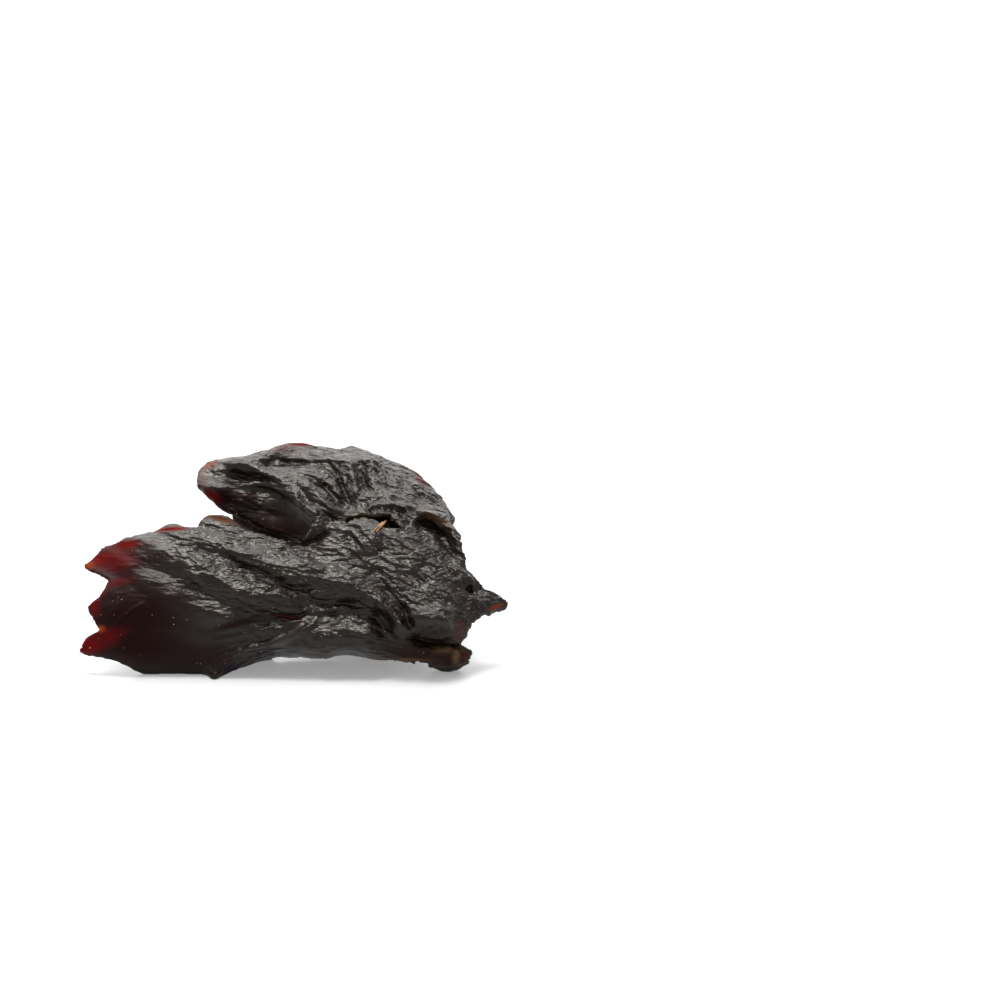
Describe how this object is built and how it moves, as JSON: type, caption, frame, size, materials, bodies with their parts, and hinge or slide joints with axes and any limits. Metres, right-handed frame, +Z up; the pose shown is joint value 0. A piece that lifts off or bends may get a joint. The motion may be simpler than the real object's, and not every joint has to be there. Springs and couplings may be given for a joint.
{
  "type": "dried rabbit liver",
  "caption": "Whole air-dried rabbit liver: dark, leathery, wrinkled lobes curled over into a low arch, with thin pointed red edges on one side; a dog treat or a prepared offal snack.",
  "frame": {"origin": "middle of the bounding box, on the plane that the piece rests on", "axes": "+Z up; +X along the longest extent, towards the spike at the root; -Y is the side of the front lobe"},
  "size_m": [0.0754, 0.0524, 0.0344],
  "materials": {
    "dried_liver": "near-black brown dried meat skin with a soft gloss, fine crinkles, and deep red to orange where it thins to an edge"
  },
  "bodies": {
    "root": {"dried_liver": "dried_liver"}
  },
  "joints": []
}
